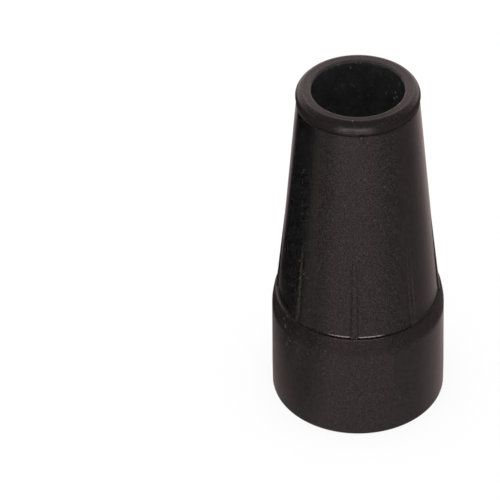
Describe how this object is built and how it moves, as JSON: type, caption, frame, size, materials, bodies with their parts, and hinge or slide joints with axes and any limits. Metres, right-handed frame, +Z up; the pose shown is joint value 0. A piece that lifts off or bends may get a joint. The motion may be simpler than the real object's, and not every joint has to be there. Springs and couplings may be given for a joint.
{
  "type": "rubber cane tip",
  "caption": "One-piece rubber cane tip: a tapered sleeve with a rolled rim and ribs, standing on a wider collar with a ringed tread.",
  "frame": {"origin": "centre of the tread, on the ground plane that the outer ring stands on", "axes": "+Z up along the bore axis towards the mouth; -Y is the front, through the middle of one rib"},
  "size_m": [0.0315, 0.0314, 0.066],
  "materials": {
    "rubber": "satin, as moulded"
  },
  "bodies": {
    "root": {"rubber_tip": "rubber"}
  },
  "joints": []
}
